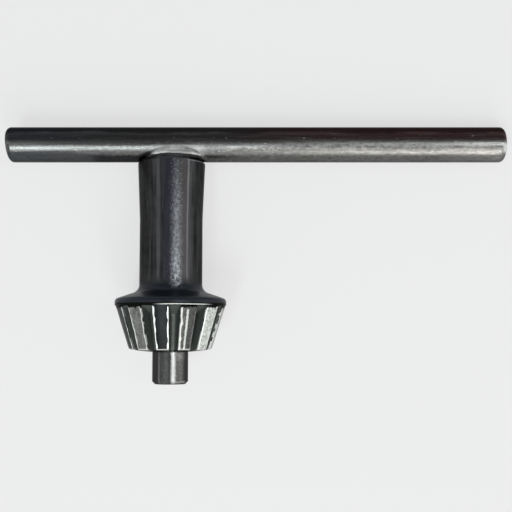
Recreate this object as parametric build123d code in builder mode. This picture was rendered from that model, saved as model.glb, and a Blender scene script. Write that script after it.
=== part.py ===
from build123d import *
import os
from math import radians, sqrt, tan

# T-handle key for a geared drill chuck.
#
# One turned body carries the plain pilot pin, the bevel pinion and the shank. A round
# handle bar lies off centre across the end of the shank, and two runs of weld metal,
# one in front of the bar and one behind it, join the two.
#
# Frame: the key axis is Y, with the pilot pointing to -Y and the handle at +Y. The
# origin is on that axis, where the pilot leaves the small end of the pinion. The bar
# runs along X, its long arm to +X, and Z is square to the T. All sizes in millimetres.

# ---- Driving dimensions ---------------------------------------------------------

# Pilot, the plain pin that steadies the key in a hole of the chuck body
pilot_diameter = 6.0
pilot_length = 5.3
pilot_bevel = 0.45

# Bevel pinion, its tooth form measured at the large end, beside the rim
tooth_count = 12
tooth_phase = 9.5  # degrees from +Z towards +X to the middle of the first space
face_length = 7.25  # of the teeth, along the key axis
tip_diameter = 18.4
cone_half_angle = 17.6  # degrees between the tooth lands and the key axis
tooth_depth = 2.7
land_share = 0.52  # of the tooth pitch
root_share = 0.42  # of the width of a space at the tooth tips
edge_break = 0.14  # bevel along both edges of a land
space_root_bevel = 0.22
run_out_angle = 26.0  # degrees that the wall at the end of a space leans
run_out_radius = 0.8
small_end_radius = 0.55
small_end_rise = 0.45  # how far the small end slopes back from the pilot to the teeth

# Rim, the unbroken band between the teeth and the back of the pinion
rim_diameter = 18.7
rim_width = 1.0
rim_corner_radius = 0.7
back_angle = 19.0  # degrees that the back of the pinion slopes

# Shank, plain beside the pinion and spread by the weld's heat and force at its end
shank_diameter = 10.6
shank_root_radius = 1.5
plain_length = 12.1
upset_length = 10.1
upset_growth = 0.4  # on the radius, at the welded end
shank_end_bevel = 0.6

# Handle bar, a cropped length of drawn round rod
bar_diameter = 6.0
bar_length = 85.0
short_arm = 28.3  # from the key axis to the nearer end of the bar
bar_end_radius = 0.9
crop_slant = 6.0  # degrees that the cropped face of the short arm leans

# Weld between the bar and the end of the shank
weld_sink = 0.2  # how deep the bar is bedded in the shank
weld_inset = 0.1  # from the bevelled edge of the shank to the weld's lip
weld_lip = 0.35  # height of the lip
weld_reach = 1.0  # height where the weld runs out on the bar

# ---- Sizes that follow ------------------------------------------------------------

pilot_radius = pilot_diameter / 2
tip_radius = tip_diameter / 2
rim_radius = rim_diameter / 2
shank_radius = shank_diameter / 2
bar_radius = bar_diameter / 2

# Lands, flanks and roots all run to one apex on the key axis, below the small end.
large_end = small_end_rise + face_length
apex_depth = tip_radius / tan(radians(cone_half_angle)) - large_end
small_tip_radius = tip_radius - face_length * tan(radians(cone_half_angle))

rim_start = large_end + rim_radius - tip_radius
rim_end = rim_start + rim_width
shank_start = rim_end + (rim_radius - shank_radius) * tan(radians(back_angle))
upset_start = shank_start + plain_length
shank_end = upset_start + upset_length
upset_radius = shank_radius + upset_growth
bar_height = shank_end + bar_radius - weld_sink

# ---- Tooth space --------------------------------------------------------------------

# One space, drawn round its own Z axis with its middle along X. Its faces are cut along
# planes through the apex and the corners of a section beside the rim, each given as a
# radius and a half width. The space runs out below the small end, and a leaning wall
# closes it under the rim.
apex = Vector(0, 0, -apex_depth)
space_overrun = 1.0
space_angle = 360 / tooth_count * (1 - land_share)
half_space = tip_radius * tan(radians(space_angle / 2))
half_root = half_space * root_share
root_radius = tip_radius - tooth_depth
flank_lean = (half_space - half_root) / tooth_depth

mouth_edge = (tip_radius, half_space)
shoulder = (tip_radius - edge_break, half_space - edge_break)
flank_foot = (root_radius + space_root_bevel, half_root + space_root_bevel * flank_lean)
root_edge = (root_radius, half_root - space_root_bevel)
end_wall = Plane(
    origin=(tip_radius, 0, large_end),
    x_dir=(0, 1, 0),
    z_dir=(-tan(radians(run_out_angle)), 0, 1),
)


def round_the_space(*corners):
    """Neighbouring pairs of the corners, carried round to the far side of the space."""
    far_side = [(radius, -half_width) for radius, half_width in reversed(corners)]
    around = [*corners, *far_side]
    return zip(around, around[1:])


def through_apex(first, second):
    """Plane through the apex and two corners of the section."""
    first_ray = Vector(*first, large_end) - apex
    second_ray = Vector(*second, large_end) - apex
    return Plane(origin=apex, z_dir=first_ray.cross(second_ray))


with BuildPart() as tooth_space:
    with BuildSketch(Plane.XY.offset(-space_overrun)):
        Rectangle(rim_radius, rim_diameter, align=(Align.MIN, Align.CENTER))
    extrude(amount=space_overrun + rim_start)
    for first, second in round_the_space(shoulder, flank_foot, root_edge):
        split(bisect_by=through_apex(first, second))
    split(bisect_by=end_wall, keep=Keep.BOTTOM)
    bottom = tooth_space.faces().filter_by(lambda face: face.normal_at().X < -0.9)
    fillet(bottom.edges().sort_by(Axis.Z)[-1], run_out_radius)

with BuildPart() as mouth_bevel:
    with BuildSketch(Plane.XY.offset(-space_overrun)):
        Rectangle(rim_radius, rim_diameter, align=(Align.MIN, Align.CENTER))
    extrude(amount=space_overrun + rim_start)
    split(bisect_by=through_apex(mouth_edge, shoulder))
    split(bisect_by=through_apex((shoulder[0], -shoulder[1]), (tip_radius, -half_space)))
    split(bisect_by=end_wall, keep=Keep.BOTTOM)

# ---- Key body: pilot, pinion, rim and shank in one piece ------------------------------

with BuildPart(Plane.ZX) as key_body:
    with BuildSketch(Plane.XY):
        with BuildLine():
            pilot = Polyline(
                (0, -pilot_length),
                (pilot_radius - pilot_bevel, -pilot_length),
                (pilot_radius, pilot_bevel - pilot_length),
                (pilot_radius, 0),
            )
            teeth = FilletPolyline(
                pilot @ 1,
                (small_tip_radius, small_end_rise),
                (tip_radius, large_end),
                radius=small_end_radius,
            )
            rim_lip = Line(teeth @ 1, (rim_radius, rim_start))
            back = FilletPolyline(
                rim_lip @ 1,
                (rim_radius, rim_end),
                (shank_radius, shank_start),
                (shank_radius, upset_start),
                radius=(rim_corner_radius, shank_root_radius),
            )
            Polyline(
                back @ 1,
                (upset_radius, shank_end - shank_end_bevel),
                (upset_radius - shank_end_bevel, shank_end),
                (0, shank_end),
                (0, -pilot_length),
            )
        make_face()
    revolve(axis=Axis.Y)
    with PolarLocations(0, tooth_count, start_angle=tooth_phase):
        add(tooth_space.part, mode=Mode.SUBTRACT)
        add(mouth_bevel.part, mode=Mode.SUBTRACT)
    with BuildSketch(Plane.YZ):
        with Locations((bar_height, 0)):
            Circle(bar_radius)
    extrude(amount=rim_radius, both=True, mode=Mode.SUBTRACT)

# ---- Handle bar -------------------------------------------------------------------------

# The shear left the end of the short arm leaning, shorter on the side of the pilot.
cropped_face = Plane(
    origin=(-short_arm, bar_height + bar_radius, 0),
    x_dir=(0, 0, 1),
    z_dir=(1, tan(radians(crop_slant)), 0),
)

with BuildPart() as handle_bar:
    with BuildSketch(Plane.YZ.offset(-short_arm)):
        with Locations((bar_height, 0)):
            Circle(bar_radius)
    extrude(amount=bar_length)
    split(bisect_by=cropped_face)
    fillet(handle_bar.edges().filter_by(lambda edge: edge.is_closed), bar_end_radius)

# ---- Weld metal, one run on each side of the bar -------------------------------------------

weld_radius = upset_radius - shank_end_bevel - weld_inset
toe_radius = sqrt(bar_radius**2 - (bar_radius - weld_sink - weld_reach) ** 2)

with BuildPart() as weld_front:
    with BuildSketch(Plane.XY):
        with BuildLine():
            Polyline(
                (0, shank_end),
                (weld_radius, shank_end),
                (weld_radius, shank_end + weld_lip),
                (toe_radius, shank_end + weld_reach),
                (0, shank_end + weld_reach),
                close=True,
            )
        make_face()
    revolve(axis=Axis.Y, revolution_arc=-180)
    with BuildSketch(Plane.YZ):
        with Locations((bar_height, 0)):
            Circle(bar_radius)
    extrude(amount=rim_radius, both=True, mode=Mode.SUBTRACT)

with BuildPart() as weld_rear:
    mirror(weld_front.part, about=Plane.XY)

# ---- Files ----------------------------------------------------------------------------------

key_body.part.label = "key_body"
handle_bar.part.label = "handle_bar"
weld_front.part.label = "weld_front"
weld_rear.part.label = "weld_rear"

os.makedirs("parts", exist_ok=True)
export_step(key_body.part, "parts/key_body.step")
export_step(handle_bar.part, "parts/handle_bar.step")
export_step(weld_front.part, "parts/weld_front.step")
export_step(weld_rear.part, "parts/weld_rear.step")
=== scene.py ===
import math

import bpy
from bpy.props import FloatProperty, FloatVectorProperty, IntProperty, PointerProperty
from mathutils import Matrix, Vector


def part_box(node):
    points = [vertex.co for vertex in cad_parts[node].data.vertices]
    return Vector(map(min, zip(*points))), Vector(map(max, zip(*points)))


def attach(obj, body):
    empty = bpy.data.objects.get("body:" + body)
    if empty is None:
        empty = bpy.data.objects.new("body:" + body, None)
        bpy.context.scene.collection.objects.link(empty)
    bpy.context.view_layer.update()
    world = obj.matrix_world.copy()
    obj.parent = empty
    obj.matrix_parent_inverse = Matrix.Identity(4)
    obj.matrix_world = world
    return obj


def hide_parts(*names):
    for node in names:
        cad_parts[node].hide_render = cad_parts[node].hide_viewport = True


# Finishes, weld beads, floor and soft light for a T-handle key of a geared drill chuck.
# The key axis is Y, with the pilot towards -Y. The handle bar lies along X. Z is up.

bl_info = {
    "name": "Chuck Key Finisher",
    "version": (1, 0, 0),
    "blender": (4, 5, 0),
    "location": "View3D > Sidebar > Chuck Key",
    "description": "Gives a T-handle chuck key its steel finishes, weld beads, floor and lamps",
    "category": "Object",
}

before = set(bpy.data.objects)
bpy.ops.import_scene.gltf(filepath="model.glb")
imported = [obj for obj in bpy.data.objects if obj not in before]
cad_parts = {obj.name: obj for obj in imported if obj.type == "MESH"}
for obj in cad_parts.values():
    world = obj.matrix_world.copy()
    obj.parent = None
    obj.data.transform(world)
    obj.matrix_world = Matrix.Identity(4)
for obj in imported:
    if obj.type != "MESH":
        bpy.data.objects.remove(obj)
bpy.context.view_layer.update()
MM = 0.001

BODY_LOW, BODY_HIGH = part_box("key_body")
BAR_LOW, BAR_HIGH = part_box("handle_bar")

# Places along the key and the bar, measured from the pilot's root and from the key axis,
# and radii, all in millimetres
PILOT_TIP = BODY_LOW.y / MM
PILOT_RADIUS = 3.0
RIM_RADIUS = BODY_HIGH.x / MM
SHANK_START = 11.0
SHANK_END = BODY_HIGH.y / MM
BAR_AXIS = (BAR_LOW.y + BAR_HIGH.y) / 2 / MM
BAR_RADIUS = (BAR_HIGH.y - BAR_LOW.y) / 2 / MM
LONG_END = BAR_HIGH.x / MM


# ---- Sizes and colours that a user would change --------------------------------------


class KeySteel(bpy.types.PropertyGroup):
    """Colours and wear of the three steels of the key."""

    oxide: FloatVectorProperty(
        name="Black oxide", description="Colour of the blackened shank",
        subtype="COLOR", size=3, min=0, max=1, default=(0.034, 0.0345, 0.0355),
    )
    oxide_violet: FloatVectorProperty(
        name="Violet oxide", description="Tint beside the rubbed streak of the shank",
        subtype="COLOR", size=3, min=0, max=1, default=(0.034, 0.032, 0.05),
    )
    oxide_brown: FloatVectorProperty(
        name="Brown oxide", description="Tint on the streak's other side",
        subtype="COLOR", size=3, min=0, max=1, default=(0.062, 0.052, 0.052),
    )
    quench: FloatVectorProperty(
        name="Quenched oxide", description="Blue-black of the back of the pinion",
        subtype="COLOR", size=3, min=0, max=1, default=(0.02, 0.025, 0.033),
    )
    space: FloatVectorProperty(
        name="Tooth spaces", description="Colour of the cut spaces between the teeth",
        subtype="COLOR", size=3, min=0, max=1, default=(0.05, 0.057, 0.052),
    )
    # Also the colour of the painted highlight down one land
    land: FloatVectorProperty(
        name="Tooth lands", description="Colour of the rubbed lands of the teeth",
        subtype="COLOR", size=3, min=0, max=1, default=(0.88, 0.92, 0.87),
    )
    # Also the colour of painted highlights: the rim's edge, the bevel on the bar's long end and
    # the weld's lip
    edge: FloatVectorProperty(
        name="Worn edges", description="Colour of edges that are worn to bare metal",
        subtype="COLOR", size=3, min=0, max=1, default=(0.68, 0.69, 0.66),
    )
    # The pilot's painted highlight and sheen take this colour, and its sides take it darkened
    pilot: FloatVectorProperty(
        name="Pilot", description="Colour of the turned pilot pin where it is rubbed",
        subtype="COLOR", size=3, min=0, max=1, default=(0.42, 0.42, 0.41),
    )
    bar: FloatVectorProperty(
        name="Drawn bar", description="Colour of the lower side of the handle bar",
        subtype="COLOR", size=3, min=0, max=1, default=(0.13, 0.13, 0.125),
    )
    # These tints also colour the bar's top half, which is painted darker as shade
    bar_cool: FloatVectorProperty(
        name="Bar, blued", description="Tint of the bar's short arm",
        subtype="COLOR", size=3, min=0, max=1, default=(0.05, 0.055, 0.062),
    )
    bar_warm: FloatVectorProperty(
        name="Bar, browned", description="Tint of the bar's long arm",
        subtype="COLOR", size=3, min=0, max=1, default=(0.072, 0.042, 0.043),
    )
    weld: FloatVectorProperty(
        name="Weld metal", description="Colour of the weld beads",
        subtype="COLOR", size=3, min=0, max=1, default=(0.68, 0.68, 0.67),
    )
    # Colour of the shank's rubbed streak, which is also its painted highlight, sheen and lamp
    # reflections
    rubbed_and_sheen: FloatVectorProperty(
        name="Rubbed oxide", description="Steel that shows where a hand has rubbed the shank",
        subtype="COLOR", size=3, min=0, max=1, default=(0.4, 0.42, 0.44),
    )
    edge_width: FloatProperty(
        name="Worn edge width", description="Width of the bare metal along a tooth's edge",
        unit="LENGTH", min=0, max=0.001, default=0.23 * MM, precision=5,
    )


class PinionTeeth(bpy.types.PropertyGroup):
    """Where the teeth stand, so that the finishes follow them."""

    count: IntProperty(
        name="Teeth", description="Number of teeth on the pinion", min=6, max=24, default=12
    )
    phase: FloatProperty(
        name="First space", description="Angle from up to the middle of the first space",
        subtype="ANGLE", default=math.radians(9.5),
    )
    land_share: FloatProperty(
        name="Land share", description="Share of the pitch that a land takes",
        min=0.1, max=0.9, default=0.52,
    )
    tip_radius: FloatProperty(
        name="Tip radius", description="Radius over the lands beside the rim",
        unit="LENGTH", default=9.2 * MM, precision=5,
    )
    small_end: FloatProperty(
        name="Small end", description="From the pilot's root to where the lands begin",
        unit="LENGTH", default=0.45 * MM, precision=5,
    )
    large_end: FloatProperty(
        name="Large end", description="From the pilot's root to where the teeth meet the rim",
        unit="LENGTH", default=7.7 * MM, precision=5,
    )
    cone: FloatProperty(
        name="Cone half angle", description="Angle between the lands and the key axis",
        subtype="ANGLE", default=math.radians(17.6),
    )


class WeldBeads(bpy.types.PropertyGroup):
    """How the beads differ from the smooth welds that they start from."""

    fullness: FloatProperty(
        name="Fullness", description="Height of a bead in heights of the smooth weld",
        min=1, max=4, default=2.35,
    )
    turn: FloatProperty(
        name="Turn", description="Turn of a bead about the line of its foot",
        subtype="ANGLE", default=math.radians(5),
    )
    foot: FloatProperty(
        name="Foot", description="From the key axis to the line that a bead is turned about",
        unit="LENGTH", default=3.2 * MM, precision=5,
    )
    shift: FloatProperty(
        name="Shift", description="How far a bead lies towards the long arm",
        unit="LENGTH", default=0.5 * MM, precision=5,
    )
    lump_size: FloatProperty(
        name="Lump size", description="Width of the lumps on a bead",
        unit="LENGTH", min=0.0001, default=1.1 * MM, precision=5,
    )
    lump_depth: FloatProperty(
        name="Lump depth", description="Height of the lumps from their lowest to their highest",
        unit="LENGTH", min=0, default=0.16 * MM, precision=5,
    )
    voxel: FloatProperty(
        name="Voxel", description="Size of the grid that a bead's mesh is rebuilt on",
        unit="LENGTH", min=0.00005, default=0.11 * MM, precision=5,
    )


class Studio(bpy.types.PropertyGroup):
    """Camera, lamps and floor."""

    lens: FloatProperty(
        name="Lens", description="Focal length on a 36 mm wide sensor", min=20, max=200,
        default=65.4,
    )
    aim: FloatVectorProperty(
        name="Aim", description="Point that the camera looks at", size=3, subtype="XYZ",
        unit="LENGTH", default=(0.01437, 0.01617, 0.0), precision=5,
    )
    distance: FloatProperty(
        name="Distance", description="From the camera to its aim", unit="LENGTH",
        default=0.1574, precision=4,
    )
    elevation: FloatProperty(
        name="Elevation", description="Camera's angle above the plane of the T",
        subtype="ANGLE", default=math.radians(85),
    )
    paper: FloatVectorProperty(
        name="Paper", description="Colour of the floor and backdrop", subtype="COLOR",
        size=3, min=0, max=1, default=(0.8, 0.8, 0.8),
    )
    lamp_level: FloatProperty(
        name="Lamp level", description="Brightness of all lamps together", min=0, max=4,
        default=1.0,
    )
    floor_pitch: FloatProperty(
        name="Floor pitch", description="Slope along the key of the floor that it rests on",
        subtype="ANGLE", default=math.radians(8.85),
    )
    floor_roll: FloatProperty(
        name="Floor roll", description="Slope along the bar of the floor that the key rests on",
        subtype="ANGLE", default=math.radians(2.17),
    )


# ---- Shader maths --------------------------------------------------------------------


def set_stops(ramp, stops):
    """Give a colour ramp hard steps, from pairs of a position and a colour."""
    ramp.interpolation = "CONSTANT"
    for index, (position, shade) in enumerate(stops):
        stop = ramp.elements[0] if index == 0 else ramp.elements.new(position)
        stop.position = position
        stop.color = (*shade, 1.0)


class Wire:
    """An output of a shader's nodes, so that maths on it reads as plain Python."""

    def __init__(self, tree, socket=None):
        self.tree = tree
        self.socket = socket

    def node(self, kind, settings=None, values=None, output=0):
        """Add any node: its settings first, with a ramp's stops, then values or links."""
        made = self.tree.nodes.new("ShaderNode" + kind)
        for name, value in (settings or {}).items():
            if name == "stops":
                set_stops(made.color_ramp, value)
            else:
                setattr(made, name, value)
        for name, value in (values or {}).items():
            if isinstance(value, Wire):
                self.tree.links.new(value.socket, made.inputs[name])
            else:
                made.inputs[name].default_value = value
        return Wire(self.tree, made.outputs[output] if made.outputs else None)

    def maths(self, operation, *values):
        return self.node("Math", {"operation": operation}, dict(enumerate(values)))

    def __add__(self, other):
        return self.maths("ADD", self, other)

    def __radd__(self, other):
        return self.maths("ADD", other, self)

    def __sub__(self, other):
        return self.maths("SUBTRACT", self, other)

    def __rsub__(self, other):
        return self.maths("SUBTRACT", other, self)

    def __mul__(self, other):
        return self.maths("MULTIPLY", self, other)

    def __rmul__(self, other):
        return self.maths("MULTIPLY", other, self)

    def __truediv__(self, other):
        return self.maths("DIVIDE", self, other)

    def __pow__(self, other):
        return self.maths("POWER", self, other)

    def __abs__(self):
        return self.maths("ABSOLUTE", self)

    def rise(self, low, high):
        """0 below low, 1 above high, and a smooth step between them."""
        return self.node(
            "MapRange", {"interpolation_type": "SMOOTHSTEP"},
            {"Value": self, "From Min": low, "From Max": high},
        )

    def fall(self, low, high):
        """1 below low, 0 above high, and a smooth step between them."""
        return 1 - self.rise(low, high)

    def near(self, middle, inner, outer):
        """1 within inner of the middle, 0 beyond outer, and a smooth step between them."""
        return abs(self - middle).fall(inner, outer)

    def span(self, low, rises_to, falls_from, high):
        """0 outside low and high, 1 between the inner two, with smooth steps."""
        return self.rise(low, rises_to) * self.fall(falls_from, high)

    def either(self, other):
        """The larger of two masks."""
        return self.maths("MAXIMUM", self, other)

    def stretched(self, scale):
        """The same place with its axes scaled, for a pattern that is drawn out."""
        return self.node("Mapping", values={"Vector": self, "Scale": scale})

    def noise(self, scale, detail=3.0, roughness=0.55):
        """Cloudy pattern, about 0.5 in the middle, over the places that this wire gives."""
        return self.node(
            "TexNoise",
            values={"Vector": self, "Scale": scale, "Detail": detail, "Roughness": roughness},
        )

    def choose(self, first, second):
        """Colour that is the first where this mask is 0 and the second where it is 1."""
        return self.node("Mix", {"data_type": "RGBA"}, {0: self, 6: first, 7: second}, 2)


def colour(value, level=1.0):
    """A colour property as a node's socket takes it, made darker or lighter by level."""
    return (*(part * level for part in value), 1.0)


def paint(base, *layers):
    """Lay colours over a base one after another, each where its mask says."""
    for mask, shade in layers:
        base = mask.choose(base, shade)
    return base


def new_material(name):
    """An empty material and the wire that its nodes start from."""
    material = bpy.data.materials.new(name)
    material.use_nodes = True
    material.node_tree.nodes.clear()
    return material, Wire(material.node_tree)


def place_in_mm(start):
    """Object coordinates in millimetres: the whole place, and its three parts."""
    place = start.node("TexCoord", output="Object")
    place = start.node(
        "VectorMath", {"operation": "SCALE"}, {"Vector": place, "Scale": 1 / MM}
    )
    x, y, z = (start.node("SeparateXYZ", values={"Vector": place}, output=i) for i in range(3))
    return place, x, y, z


def finish_steel(start, base, metallic, roughness, height, relief):
    """Close a steel with its shader; height says where its relief, in millimetres, is high."""
    normal = start.node(
        "Bump", values={"Strength": 1.0, "Distance": relief * MM, "Height": height}
    )
    shader = start.node(
        "BsdfPrincipled",
        values={
            "Base Color": base,
            "Metallic": metallic,
            "Roughness": roughness,
            "Normal": normal,
            "Specular Tint": GLANCING_TINT,
        },
    )
    start.node("OutputMaterial", values={"Surface": shader})


# ---- Steels --------------------------------------------------------------------------

# Steel doesn't turn white at a glancing angle
GLANCING_TINT = (0.5, 0.5, 0.5, 1.0)

# Depth of a finish's relief, in millimetres
STEEL_RELIEF = 0.02
WELD_RELIEF = 0.05

# Near-black of painted shade on the bar's top and across the middle of its lit band, the same
# tinted red on the long arm, and violet for the darker patch under the bar beside the joint
SHADE_BLACK = (0.008, 0.008, 0.009, 1.0)
SHADE_RED = (0.012, 0.005, 0.0065, 1.0)
JOINT_UNDERSIDE_DARK = (0.01, 0.009, 0.013, 1.0)

# Where the marks lie round the key, in degrees from up towards the long arm: the shank's
# streak, which is partly wear and partly a painted highlight, painted reflections and sheen on
# the shank, oxide tints, painted highlights on one land and on the rim's edge, and painted
# sheen, a painted reflection and a painted highlight on the pilot
STREAK_AND_HIGHLIGHT_ANGLE = 15.0
FINE_REFLECTION_ANGLE = 34.8
WIDE_REFLECTION_ANGLE = -18.5
SHEEN_ANGLE = 26.0
FAINT_SHEEN_ANGLE = 2.0
VIOLET_ANGLE = 1.0
BROWN_ANGLE = 29.0
LAND_HIGHLIGHT_ANGLE = 23.4
RIM_GLINT_ANGLE = 20.0
PILOT_SHEEN_ANGLE = -16.0
PILOT_REFLECTION_ANGLE = -33.0
PILOT_GLINT_ANGLE = 40.0

# Where marks lie along the key, in millimetres from the pilot's root: the bevel on the pilot,
# which has a painted highlight, the middle of the stretch where the streak is smooth, and the
# bevel on the shank's end, which has a painted highlight
PILOT_BEVEL = PILOT_TIP + 0.42
EVEN_STRETCH_MIDDLE = 19.0
SHANK_BEVEL = SHANK_END - 0.6

# How far each tooth is rubbed bare, from the first space on: its land, the edge before
# the land and the edge after it
TOOTH_WEAR = (
    (0.21, 1.0, 0.15), (1.0, 0.9, 0.6), (0.8, 0.7, 0.5), (0.3, 0.6, 0.8),
    (0.6, 0.3, 0.7), (0.15, 0.8, 0.4), (0.45, 0.5, 0.9), (0.7, 0.9, 0.5),
    (0.25, 0.4, 0.3), (0.13, 0.1, 0.15), (0.32, 0.65, 0.55), (0.0, 1.0, 0.6),
)


def tooth_wear(start, number):
    """Wear of a numbered tooth: of its land, of the edge before it and of the one after."""
    count = len(TOOTH_WEAR)
    stops = [(index / count, wear) for index, wear in enumerate(TOOTH_WEAR)]
    ramp = start.node("ValToRGB", {"stops": stops}, {"Fac": (number + 0.5) / count})
    return (start.node("SeparateColor", values={"Color": ramp}, output=i) for i in range(3))


class BodyPlace:
    """Where a point of the key body lies, in millimetres and degrees, and its noises."""

    def __init__(self, start, teeth):
        place, self.x, self.y, z = place_in_mm(start)
        self.radius = (self.x * self.x + z * z) ** 0.5
        self.angle = start.maths("ARCTAN2", self.x, z) * math.degrees(1)
        self.small_end = teeth.small_end / MM
        self.large_end = teeth.large_end / MM
        self.fine = place.noise(6.0, 4.0, 0.6)
        self.broad = place.noise(0.6, 3.0)
        self.blotch = place.noise(2.2, 4.0, 0.6)
        self.wander = self.blotch - 0.5
        self.sway = place.noise(0.7, 1.5, 0.5) - 0.5
        self.along = place.stretched((5.0, 0.25, 5.0)).noise(1.0, 3.0)
        self.drawn = place.stretched((1.8, 0.1, 1.8)).noise(1.0, 3.0)
        self.scratch = place.stretched((1.5, 9.0, 1.5)).noise(1.0, 4.0, 0.65)
        self.sparkle = place.stretched((1.2, 0.9, 1.2)).noise(2.2, 3.0, 0.75)
        self.fleck = place.stretched((1.0, 1.6, 1.0)).noise(3.4, 2.0, 0.5)
        self.on_pinion = self.y.span(-0.02, 0.0, self.large_end + 0.3, self.large_end + 0.35)
        self.on_shank = self.y.rise(SHANK_START, SHANK_START + 2.0)


def tooth_masks(start, body, steel, teeth):
    """Masks of the pinion: lands, spaces, middles of spaces, worn lands with a painted
    highlight down one of them, and bare edges with a painted highlight along the front of the
    rim's edge.
    """
    small_end, large_end = body.small_end, body.large_end
    pitch = 360 / teeth.count
    turn = (body.angle - math.degrees(teeth.phase)) / pitch
    from_middle = abs(start.maths("FRACT", turn + 0.5) - 0.5) * pitch
    half_space = pitch * (1 - teeth.land_share) / 2
    across = (from_middle - half_space) * body.radius * math.radians(1) + body.sway * 0.75
    tip = teeth.tip_radius / MM - (large_end - body.y) * math.tan(teeth.cone)
    depth = tip - body.radius
    number = start.maths("FLOORED_MODULO", start.maths("FLOOR", turn), len(TOOTH_WEAR))
    wear_and_highlight, edge_before, edge_after = tooth_wear(start, number)
    past_middle = start.maths("FRACT", turn).rise(0.49, 0.51)
    edge_wear = edge_before * (1 - past_middle) + edge_after * past_middle

    # The wear stops short of the rim, on an uneven line
    below_rim = (body.y - (large_end - 0.55 + body.wander * 1.2)).fall(0.0, 0.2)
    land = body.on_pinion * depth.fall(0.05, 0.12)
    space = body.on_pinion * depth.rise(0.16, 0.3)
    space = space * body.y.rise(small_end - 0.1, small_end + 0.05)
    middle = from_middle.fall(2.0, 6.0)

    # A painted highlight runs down one land, beside its middle, and joins the land's wear
    line = land * body.angle.near(LAND_HIGHLIGHT_ANGLE - body.wander * 2, 0.7, 1.9)
    line = line * body.y.fall(large_end - 0.9, large_end - 0.6)
    rubbing = body.blotch.rise(0.35, 0.65) * 0.4 + body.scratch.rise(0.4, 0.65) * 0.25
    wear_and_highlight = (wear_and_highlight * (0.4 + rubbing) * below_rim).either(line * 0.9)

    wear = body.blotch * 0.5 + body.broad * 0.5
    half_width = steel.edge_width / MM * (0.35 + wear * 0.9) * (0.45 + edge_wear * 0.6)
    tooth_edge = body.on_pinion * depth.fall(0.2, 0.4)
    tooth_edge = tooth_edge * (abs(across) / half_width).fall(0.55, 1.0)
    tooth_edge = tooth_edge * edge_wear.rise(-0.1, 0.7) * below_rim * wear.rise(0.3, 0.42)
    nose_edge = body.on_pinion * body.y.fall(small_end + 0.05, small_end + 0.2)
    nose_edge = nose_edge * depth.fall(0.3, 0.5)
    # Painted highlight along the rim's lower edge, round its front towards the long arm
    rim_glint = (body.y - body.wander * 0.12).rise(large_end - 0.03, large_end + 0.03)
    rim_glint = rim_glint * body.y.fall(large_end + 0.08, large_end + 0.2)
    rim_glint = rim_glint * body.radius.rise(RIM_RADIUS - 0.3, RIM_RADIUS - 0.2)
    rim_glint = rim_glint * body.angle.near(RIM_GLINT_ANGLE, 18, 34)
    bare_and_glint = tooth_edge.either(nose_edge * 0.85).either(rim_glint)
    return land, space, middle, wear_and_highlight, bare_and_glint


def shank_wear_and_sheen(body):
    """Mask of the shank's streak down its front, partly rubbed wear and partly a painted
    highlight, with painted sheen, a painted reflection of a side lamp as a line on each side,
    and a painted highlight on the end bevel's lower edge.
    """
    even_stretch = body.y.near(EVEN_STRETCH_MIDDLE, 2.0, 9.0) * 0.5
    grit = body.sparkle.rise(0.41, 0.61) * (1 - even_stretch) + even_stretch * 0.42
    # The streak is partly rubbed wear and partly a painted highlight of the lamp above
    streak = body.angle.near(STREAK_AND_HIGHLIGHT_ANGLE + body.wander * 14, 1, 14) * grit
    streak = streak * (0.02 + body.y.fall(10.5, 32.0) * 1.5)
    flecks = body.angle.near(STREAK_AND_HIGHLIGHT_ANGLE - 1, 6, 18) * body.fleck.rise(0.6, 0.68)
    streak = streak.either(flecks * 0.65)
    # Painted sheen beside the streak
    glow = body.angle.near(SHEEN_ANGLE, 8, 26) * 0.1
    glow = glow + body.angle.near(FAINT_SHEEN_ANGLE, 4, 16) * 0.04
    glow = glow * (0.6 + body.y.fall(14.0, 32.0) * 0.5)
    # Painted reflections of the two side lamps, as a fine line and a wide one
    drift = (body.along - 0.5) * 3
    fine_reflection = body.angle.near(FINE_REFLECTION_ANGLE + drift, 0.4, 2.4)
    fine_reflection = fine_reflection * (0.18 + body.y.rise(18.0, 32.0) * 0.09)
    wide_reflection = body.angle.near(WIDE_REFLECTION_ANGLE + drift, 1.5, 5.5)
    # Painted highlight along the lower edge of the bevel on the shank's end
    bevel_glint = body.y.near(SHANK_BEVEL + body.wander * 0.2, 0.06, 0.16) * body.x.rise(2.0, 5.0)
    streak = body.y.rise(SHANK_START - 0.7, SHANK_START + 0.3) * streak
    return body.on_shank * (glow + fine_reflection + wide_reflection * 0.1 + bevel_glint * 0.7) + streak * 0.75


def pilot_wear_and_sheen(body):
    """Mask of the pilot: a painted highlight along its front, partly rubbed wear, painted sheen
    and a painted reflection line beside that, a painted highlight on its bevel, and dark oxide
    at its sides.
    """
    # Painted highlight along the pilot's front, partly rubbed wear
    bright = body.angle.near(STREAK_AND_HIGHLIGHT_ANGLE + 0.5 + body.wander * 14, 2.0, 14)
    # Painted sheen on both sides of the highlight, and a painted reflection line
    grey = body.angle.span(8.0, 16.0, 34.0, 62.0) * 0.4
    grey = grey + body.angle.near(PILOT_SHEEN_ANGLE, 8, 24) * 0.17
    grey = grey + body.angle.near(PILOT_REFLECTION_ANGLE, 1.0, 4.5) * 0.3
    # Painted light on the pilot just below the pinion's small end
    grey = grey + body.y.rise(-1.8, -0.3) * body.angle.span(12.0, 20.0, 40.0, 64.0) * 0.3
    grey = grey * (0.3 + body.blotch.rise(0.35, 0.65) * 0.6 + body.fine * 0.8)
    # Painted highlight on the bevel at the pilot's tip
    tip_glint = body.y.near(PILOT_BEVEL, 0.06, 0.2) * body.angle.near(PILOT_GLINT_ANGLE, 14, 26)
    off_flat_end = body.radius.rise(PILOT_RADIUS - 0.5, PILOT_RADIUS - 0.2)
    return (bright.either(grey) * off_flat_end).either(tip_glint * 0.8)


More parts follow.
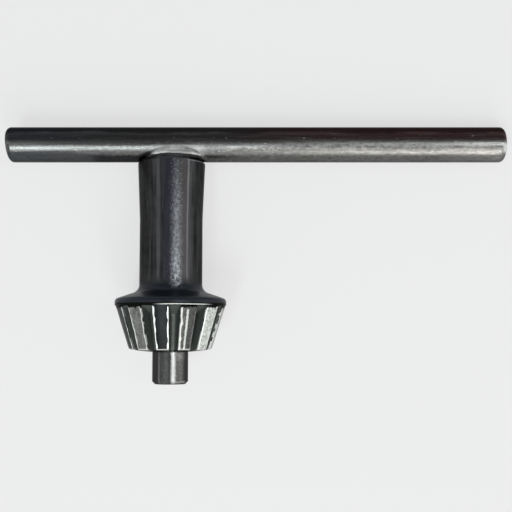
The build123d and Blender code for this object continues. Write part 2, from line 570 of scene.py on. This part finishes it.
def blackened_steel(steel, teeth):
    """Black oxide on shank and pinion, rubbed bright on the lands and along the edges, with
    painted highlights, sheen and reflections on the shank, the pilot, the tooth spaces, one
    land and the rim's edge.
    """
    material, start = new_material("Blackened steel")
    body = BodyPlace(start, teeth)
    land, space, middle_of_space, wear_and_highlight, bare_and_glint = tooth_masks(start, body, steel, teeth)
    rubbed_and_sheen = shank_wear_and_sheen(body)
    on_pilot = body.y.fall(-0.03, 0.0)
    on_pilot = on_pilot * body.radius.fall(PILOT_RADIUS + 0.02, PILOT_RADIUS + 0.1)
    on_back = body.y.rise(body.large_end + 0.3, body.large_end + 0.7)
    on_back = on_back * body.y.fall(SHANK_START - 0.4, SHANK_START + 0.8)

    violet = body.on_shank * body.angle.near(VIOLET_ANGLE, 4, 18)
    brown = body.on_shank * body.angle.near(BROWN_ANGLE, 3, 12)
    tone = 0.3 + body.broad.rise(0.3, 0.7) * 0.35 + (body.drawn - 0.5) * body.on_shank * 2.9
    oxide = tone.choose(colour(steel.oxide, 0.55), colour(steel.oxide, 1.55))
    # The middles of the spaces are painted lighter: a painted highlight along their roots
    space_and_root_sheen = (middle_of_space * 0.6 * body.fine.rise(0.3, 0.7)).choose(
        colour(steel.space, 1.1), colour(steel.space, 2.4)
    )
    on_land = wear_and_highlight.choose(colour(steel.oxide, 0.25), colour(steel.land))
    pilot = pilot_wear_and_sheen(body).choose(colour(steel.pilot, 0.11), colour(steel.pilot))
    base = paint(
        oxide,
        (violet * 0.6, colour(steel.oxide_violet)),
        (brown * 0.6, colour(steel.oxide_brown)),
        (on_back, colour(steel.quench)),
        (rubbed_and_sheen, colour(steel.rubbed_and_sheen)),
        (space, space_and_root_sheen),
        (land, on_land),
        (on_pilot, pilot),
        (bare_and_glint, colour(steel.edge)),
    )
    roughness = 0.33 + (body.fine - 0.5) * 0.22 + (body.broad - 0.5) * 0.12 + space * 0.12
    metallic = 1 - bare_and_glint * 0.55 - space * 0.75 - land * wear_and_highlight * 0.3 - on_back * 0.4
    height = body.fine * 0.4 + body.scratch * land * 0.5 + body.along * 0.3
    height = height + body.sparkle * rubbed_and_sheen * 2
    finish_steel(start, base, metallic, roughness, height, STEEL_RELIEF)
    return material


class BarPlace:
    """Where a point of the bar lies, along it and in radii off its axis, and its noises."""

    def __init__(self, start):
        place, self.x, y, self.z = place_in_mm(start)
        self.up = (y - BAR_AXIS) / BAR_RADIUS
        level = self.z / BAR_RADIUS
        self.from_axis = (self.up * self.up + level * level) ** 0.5
        self.streak = place.stretched((0.12, 4.0, 4.0)).noise(1.0, 5.0, 0.6)
        self.thread = place.stretched((0.3, 14.0, 14.0)).noise(1.0, 4.0, 0.65)
        self.cloud = place.stretched((0.12, 0.3, 0.3)).noise(1.0, 3.0)
        self.grit = place.stretched((0.6, 1.0, 1.0)).noise(2.0, 3.0, 0.7)
        self.fine = place.noise(7.0, 3.0, 0.6)
        self.dent = place.stretched((0.7, 1.0, 1.0)).noise(1.3, 2.0)
        self.patch = place.noise(0.9, 4.0, 0.7)


def bar_marks(bar):
    """Masks of the bar's dents, a painted highlight on the front of the bevel on its long end,
    and the weld's heat smear.
    """
    dents = bar.dent.rise(0.68, 0.73) * bar.up.span(-0.8, -0.5, 0.2, 0.45)
    dents = dents * (0.25 + bar.x.rise(4.0, 12.0) * 0.75)
    # Painted highlight on the front of the long end's bevel
    bevel_highlight = bar.x.rise(LONG_END - 1.0, LONG_END - 0.6) * bar.up.near(-0.35, 0.12, 0.35)
    bevel_highlight = bevel_highlight * bar.from_axis.rise(0.78, 0.86) * bar.z.rise(0.0, 0.5)
    smear = bar.x.span(-4.5, -1.0, 4.2, 6.6) * bar.up.span(-1.0, -0.85, -0.3, -0.12)
    smear = smear * abs(bar.z).rise(0.4, 1.0) * (bar.patch.rise(0.3, 0.6) * 0.6 + 0.4)
    return dents, bevel_highlight, smear


def drawn_steel(steel):
    """Dark drawn rod: streaked lengthwise, blued on one arm and browned on the other, with
    painted shade on its top and painted highlights and shade along its lit band.
    """
    material, start = new_material("Drawn steel")
    bar = BarPlace(start)
    dents, bevel_highlight, smear = bar_marks(bar)

    # The short arm is blued and smooth, the long one browned and gritty
    cool = bar.x.fall(-22.0, -2.0)
    warm = bar.x.rise(4.0, 30.0)
    gritty = bar.x.rise(-22.0, 2.0)
    # The top half takes the tints, darker than the lower side: painted shade with a blue or
    # brown tint
    tint = cool.choose(colour(steel.bar, 0.4), colour(steel.bar_cool))
    tint = warm.choose(tint, colour(steel.bar_warm))
    # Painted shade on the bar's top, tinted red on the front of the long arm
    scale = (warm * bar.z.rise(-2.5, 0.5)).choose(SHADE_BLACK, SHADE_RED)

    # Bands that run along the bar, with uneven borders
    band = bar.up + (bar.cloud - 0.5) * 0.4 + (bar.grit - 0.5) * (0.06 + gritty * 0.14)
    lower = band.fall(-0.02, 0.16)
    # Painted highlight on the bar's lower, lit band: lighter along a ridge and towards the long
    # arm, except in its core
    core = band.near(-0.42, 0.08, 0.17) * (1 - bar.x.rise(34.0, 52.0) * 0.6)
    highlight_ridge = band.near(-0.16, 0.04, 0.18)
    painted_lift = bar.x.rise(2.0, 38.0) * 0.35 + bar.x.rise(-2.0, 12.0) * highlight_ridge * 0.6
    grain = lower * (0.06 + gritty * 0.3)
    # Painted shade that dims the lit band across the middle of the bar
    painted_dimming = bar.x.near(14.5, 28.0, 42.0) * lower
    # Darker on the bar's underside just beside the joint, on the short arm's side
    joint_underside_dark = bar.x.near(-8, 3.5, 7.0) * band.fall(-0.78, -0.6)
    sawn = bar.fine.rise(0.35, 0.65) * 0.5 + bar.cloud * 0.4
    sawn = sawn.choose(colour(steel.bar, 0.35), colour(steel.bar, 1.1))

    base = paint(
        band.rise(-0.2, 0.2).choose(colour(steel.bar), tint),
        (cool * band.fall(-0.62, -0.5), colour(steel.bar_cool)),
        (bar.streak.rise(0.5, 0.75) * 0.4, colour(steel.bar, 1.7)),
        (bar.streak.fall(0.25, 0.5) * 0.5, colour(steel.bar, 0.4)),
        (band.rise(0.4, 0.62) * 0.86, scale),
        (dents * 0.7, colour(steel.edge)),
        (painted_lift * lower * (1 - core), colour(steel.bar, 2.3)),
        (bar.fine.rise(0.45, 0.62) * lower * 0.2, colour(steel.bar, 2.2)),
        (bar.grit.rise(0.5, 0.66) * grain, colour(steel.bar, 2.6)),
        (bar.grit.fall(0.34, 0.5) * grain * 1.3, colour(steel.bar, 0.5)),
        (painted_dimming * (0.3 + core * 0.12), SHADE_BLACK),
        (joint_underside_dark * 0.75, JOINT_UNDERSIDE_DARK),
        (bevel_highlight * 0.8, colour(steel.edge)),
        (bar.from_axis.fall(0.68, 0.8), sawn),
        (smear * 0.8, colour(steel.weld, 0.45)),
    )
    roughness = 0.3 + (bar.thread - 0.5) * 0.22 + (bar.cloud - 0.5) * 0.1 + smear * 0.12
    metallic = 1 - (smear + bevel_highlight) * 0.7
    height = bar.thread * 0.5 + bar.streak * 0.4 + bar.fine * 0.15 - dents
    finish_steel(start, base, metallic, roughness, height, STEEL_RELIEF)
    return material


def weld_steel(steel):
    """Raw weld metal, grey and grainy, with a painted highlight in runs along its lip and
    painted shade on its foot and its left end.
    """
    material, start = new_material("Weld metal")
    place, x, y, z = place_in_mm(start)
    grain = place.noise(5.0, 4.0, 0.6)
    cloud = place.noise(1.2, 3.0)
    height = y - SHANK_END + (place.noise(0.9, 2.0) - 0.5) * 0.25
    face = ((x * x + z * z) ** 0.5).rise(4.4, 4.7)
    lip = face * height.span(0.4, 0.5, 1.0, 1.4)
    # Painted shade: the foot under the lip and the bead's left end are painted near-black
    foot = (face * height.fall(0.4, 0.5)).either(x.fall(-3.6, -2.4))

    # The lip has a painted highlight in two runs, left of the middle and at the right, and is
    # painted darker between them
    bright = x.near(-1.5, 0.8, 2.0) + x.rise(2.8, 3.8) * 0.6
    bright = bright * (0.55 + place.noise(1.8, 2.0).rise(0.42, 0.58) * 0.45) + 0.1
    dark = colour(steel.weld, 0.5)
    base = paint(
        (cloud * 0.6 + grain * 0.4).rise(0.38, 0.56).choose(dark, colour(steel.weld)),
        (lip, bright.choose(dark, colour(steel.edge))),
        (foot * 0.95, colour(steel.oxide, 0.2)),
    )
    metallic = 0.2 + foot * 0.6
    roughness = 0.5 + (grain - 0.5) * 0.3
    finish_steel(start, base, metallic, roughness, grain, WELD_RELIEF)
    return material


# Distances from the pilot's root, in millimetres, over which the floor's shadow fades
SHADOW_FADES = (90, 200)


def paper_material(studio):
    """Pale paper that keeps the key's shadow near it and is even further away."""
    material, start = new_material("Studio paper")
    _, x, y, _ = place_in_mm(start)
    away = (x * x + y * y) ** 0.5
    matt = start.node("BsdfDiffuse", values={"Color": colour(studio.paper)})
    glow = start.node("Emission", values={"Color": colour(studio.paper), "Strength": 1.0})
    rays = ("Is Camera Ray", "Is Glossy Ray", "Is Transmission Ray")
    camera, glossy, through = (start.node("LightPath", output=name) for name in rays)
    shown = start.maths("MINIMUM", camera + glossy + through, 1.0)
    even = shown * (0.8 + away.rise(*SHADOW_FADES) * 0.2)
    paper = start.node("MixShader", values={0: even, 1: matt, 2: glow})
    start.node("OutputMaterial", values={"Surface": paper})
    return material


# ---- Pieces --------------------------------------------------------------------------

# Corners of a CAD node's loose triangles that lie this near to each other are one corner
MERGE_DISTANCE = 0.002 * MM

# Each weld's side of the bar, as a direction along Z
WELD_SIDES = {"front": 1, "rear": -1}


def deselect_all():
    for chosen in list(bpy.context.selected_objects):
        chosen.select_set(False)


def make_active(piece):
    deselect_all()
    piece.select_set(True)
    bpy.context.view_layer.objects.active = piece


def coat(piece, material):
    """Put one material in every slot of a piece."""
    for slot in piece.material_slots:
        slot.material = material


def apply_new_modifier(piece, kind, settings):
    """Add a modifier to the active piece, with its settings, and apply it."""
    bpy.ops.object.modifier_add(type=kind)
    modifier = piece.modifiers[-1]
    for name, value in settings.items():
        setattr(modifier, name, value)
    bpy.ops.object.modifier_apply(modifier=modifier.name)


class CHUCKKEY_OT_key_body(bpy.types.Operator):
    """Blacken the turned body and rub its tooth lands and edges bright"""

    bl_idname = "chuckkey.key_body"
    bl_label = "Finish Key Body"

    def execute(self, context):
        scene = context.scene
        coat(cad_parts["key_body"], blackened_steel(scene.key_steel, scene.key_teeth))
        return {"FINISHED"}


class CHUCKKEY_OT_handle_bar(bpy.types.Operator):
    """Give the handle bar the streaked look of drawn rod"""

    bl_idname = "chuckkey.handle_bar"
    bl_label = "Finish Handle Bar"

    def execute(self, context):
        coat(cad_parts["handle_bar"], drawn_steel(context.scene.key_steel))
        return {"FINISHED"}


class CHUCKKEY_OT_weld_beads(bpy.types.Operator):
    """Make a lumpy bead of weld metal on each side of the bar"""

    bl_idname = "chuckkey.weld_beads"
    bl_label = "Make Weld Beads"

    def execute(self, context):
        finish = weld_steel(context.scene.key_steel)
        beads = context.scene.key_beads
        lumps = bpy.data.textures.new("Weld lumps", "CLOUDS")
        lumps.noise_scale = beads.lump_size
        for side, along_z in WELD_SIDES.items():
            make_active(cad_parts["weld_" + side])
            bpy.ops.object.duplicate()
            bead = context.active_object
            bead.name = "weld_bead_" + side
            for key in [k for k in bead.keys() if k.startswith("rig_")]:
                del bead[key]
            self.shape_bead(beads, along_z)
            self.roughen_bead(bead, beads, lumps)
            bead.data.materials.clear()
            bead.data.materials.append(finish)
            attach(bead, "root")
            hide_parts("weld_" + side)
        return {"FINISHED"}

    def shape_bead(self, beads, along_z):
        """Make it fuller, so that its face runs up the bar from a foot in the shank's end."""
        shank_end = SHANK_END * MM
        bpy.ops.object.mode_set(mode="EDIT")
        bpy.ops.mesh.select_all(action="SELECT")
        bpy.ops.mesh.remove_doubles(threshold=MERGE_DISTANCE)
        bpy.ops.mesh.normals_make_consistent(inside=False)
        bpy.ops.transform.resize(
            value=(1, beads.fullness, 1), center_override=(0, shank_end, 0)
        )
        bpy.ops.transform.rotate(
            value=-beads.turn * along_z, orient_axis="X",
            center_override=(0, shank_end, beads.foot * along_z),
        )
        bpy.ops.transform.translate(value=(beads.shift, 0, 0))
        bpy.ops.object.mode_set(mode="OBJECT")

    def roughen_bead(self, bead, beads, lumps):
        """Rebuild its mesh on an even grid, raise the lumps and soften them."""
        apply_new_modifier(bead, "REMESH", {"mode": "VOXEL", "voxel_size": beads.voxel})
        apply_new_modifier(bead, "DISPLACE", {
            "texture": lumps, "texture_coords": "LOCAL",
            "strength": beads.lump_depth, "mid_level": 0.5,
        })
        apply_new_modifier(bead, "SMOOTH", {"factor": 0.5, "iterations": 4})
        bpy.ops.object.shade_smooth()


# ---- Studio --------------------------------------------------------------------------

# Lamps by name: direction from the key, width and height in degrees as seen from it,
# brightness and tint
LAMPS = {
    "key_lamp": ((0.04, -0.75, 0.66), (30, 56), 1.5, (1.0, 1.0, 1.0)),
    "upper_key_lamp": ((0.0, -0.5, 0.866), (26, 14), 2.6, (1.0, 1.0, 1.0)),
    "cool_lamp": ((-0.24, -0.49, 0.84), (7, 18), 28.0, (0.88, 0.97, 1.0)),
    "warm_lamp": ((0.25, -0.77, 0.58), (10, 32), 9.0, (1.0, 0.96, 0.9)),
    "top_lamp": ((0.39, -0.06, 0.92), (10, 20), 6.0, (0.95, 0.99, 1.0)),
    "left_strip": ((-0.67, 0.1, 0.73), (5, 50), 2.5, (0.95, 0.98, 1.0)),
    "right_strip": ((0.86, 0.1, 0.5), (5, 50), 2.5, (1.0, 0.99, 0.97)),
}
LAMP_AIM = Vector((0.006, 0.018, 0.0))
LAMP_DISTANCE = 0.5

FLOOR_SIZE = 1.6
SENSOR_WIDTH_MM = 36.0
NEAREST_SEEN = 1 * MM

# Colour of the room above the paper, and how steep a look up goes from paper to room,
# as the height of its direction
UPPER_ROOM = (0.3, 0.3, 0.31, 1.0)
PAPER_ENDS = (0.32, 0.42)


def hang_lamp(name, towards, spread, level, tint, lamp_level):
    """Hang an area lamp that the key sees in one direction, with a spread in degrees."""
    towards = Vector(towards).normalized()
    width, height = (2 * LAMP_DISTANCE * math.tan(math.radians(part / 2)) for part in spread)
    bpy.ops.object.light_add(type="AREA", location=LAMP_AIM + towards * LAMP_DISTANCE)
    made = bpy.context.active_object
    made.name = name
    made.rotation_euler = towards.to_track_quat("Z", "Y").to_euler()
    made.data.shape = "RECTANGLE"
    made.data.size = width
    made.data.size_y = height
    made.data.energy = lamp_level * level * math.pi * width * height
    made.data.color = tint
    made.visible_camera = False


class CHUCKKEY_OT_studio(bpy.types.Operator):
    """Lay the pale floor and set the backdrop, the lamps and the camera"""

    bl_idname = "chuckkey.studio"
    bl_label = "Set Up Studio"

    def execute(self, context):
        scene = context.scene
        studio = scene.key_studio
        for name in ("Cube", "Light", "Camera"):
            if name in bpy.data.objects:
                bpy.data.objects.remove(bpy.data.objects[name])
        self.lay_floor(studio)
        for name, lamp in LAMPS.items():
            hang_lamp(name, *lamp, studio.lamp_level)
        self.paint_world(scene, studio)
        self.set_camera(scene, studio)
        scene.view_settings.view_transform = "Standard"
        return {"FINISHED"}

    def lay_floor(self, studio):
        """Lay the floor under the key as it rests, where its lowest point touches."""
        up = Vector((-math.sin(studio.floor_roll), -math.sin(studio.floor_pitch), 1.0))
        up.z = math.sqrt(1 - up.x**2 - up.y**2)
        meshes = [node.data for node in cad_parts.values()]
        lowest = min(up.dot(vertex.co) for mesh in meshes for vertex in mesh.vertices)
        deselect_all()
        bpy.ops.mesh.primitive_grid_add(
            x_subdivisions=2, y_subdivisions=2, size=FLOOR_SIZE, location=up * lowest,
            rotation=up.to_track_quat("Z", "Y").to_euler(),
        )
        floor = bpy.context.active_object
        floor.name = "studio_floor"
        bpy.ops.object.transform_apply(location=True, rotation=True, scale=True)
        floor.data.materials.append(paper_material(studio))

    def paint_world(self, scene, studio):
        """Paint the room as the paper low down and darker above."""
        world = bpy.data.worlds.new("Studio room")
        scene.world = world
        world.use_nodes = True
        world.node_tree.nodes.clear()
        start = Wire(world.node_tree)
        direction = start.node("TexCoord", output="Generated")
        height = start.node("SeparateXYZ", values={"Vector": direction}, output=2)
        room = height.fall(*PAPER_ENDS).choose(UPPER_ROOM, colour(studio.paper))
        sky = start.node("Background", values={"Color": room, "Strength": 1.0})
        start.node("OutputWorld", values={"Surface": sky})

    def set_camera(self, scene, studio):
        """Stand the camera above the T, tilted back a little from square to it."""
        tilt = studio.elevation
        back = Vector((0.0, -math.cos(tilt), math.sin(tilt)))
        bpy.ops.object.camera_add(location=Vector(studio.aim) + back * studio.distance)
        camera = bpy.context.active_object
        camera.name = "studio_camera"
        camera.rotation_euler = back.to_track_quat("Z", "Y").to_euler()
        camera.data.lens = studio.lens
        camera.data.sensor_width = SENSOR_WIDTH_MM
        camera.data.clip_start = NEAREST_SEEN
        scene.camera = camera


# ---- Panel and registration ----------------------------------------------------------

GROUPS = {
    "key_steel": KeySteel,
    "key_teeth": PinionTeeth,
    "key_beads": WeldBeads,
    "key_studio": Studio,
}
STEPS = (
    CHUCKKEY_OT_key_body,
    CHUCKKEY_OT_handle_bar,
    CHUCKKEY_OT_weld_beads,
    CHUCKKEY_OT_studio,
)


class CHUCKKEY_PT_sidebar(bpy.types.Panel):
    """The steps of the key's dressing, with its sizes and colours"""

    bl_idname = "CHUCKKEY_PT_sidebar"
    bl_label = "Chuck Key"
    bl_space_type = "VIEW_3D"
    bl_region_type = "UI"
    bl_category = "Chuck Key"

    def draw(self, context):
        for step in STEPS:
            self.layout.operator(step.bl_idname)
        for group_name in GROUPS:
            group = getattr(context.scene, group_name)
            box = self.layout.box()
            for name in group.bl_rna.properties.keys():
                if name not in ("rna_type", "name"):
                    box.prop(group, name)


def register():
    for kind in (*GROUPS.values(), *STEPS, CHUCKKEY_PT_sidebar):
        bpy.utils.register_class(kind)
    for name, kind in GROUPS.items():
        setattr(bpy.types.Scene, name, PointerProperty(type=kind))


def unregister():
    for name in GROUPS:
        delattr(bpy.types.Scene, name)
    for kind in reversed((*GROUPS.values(), *STEPS, CHUCKKEY_PT_sidebar)):
        bpy.utils.unregister_class(kind)


def main():
    register()
    bpy.ops.chuckkey.key_body()
    bpy.ops.chuckkey.handle_bar()
    bpy.ops.chuckkey.weld_beads()
    bpy.ops.chuckkey.studio()


if __name__ == "__main__":
    main()
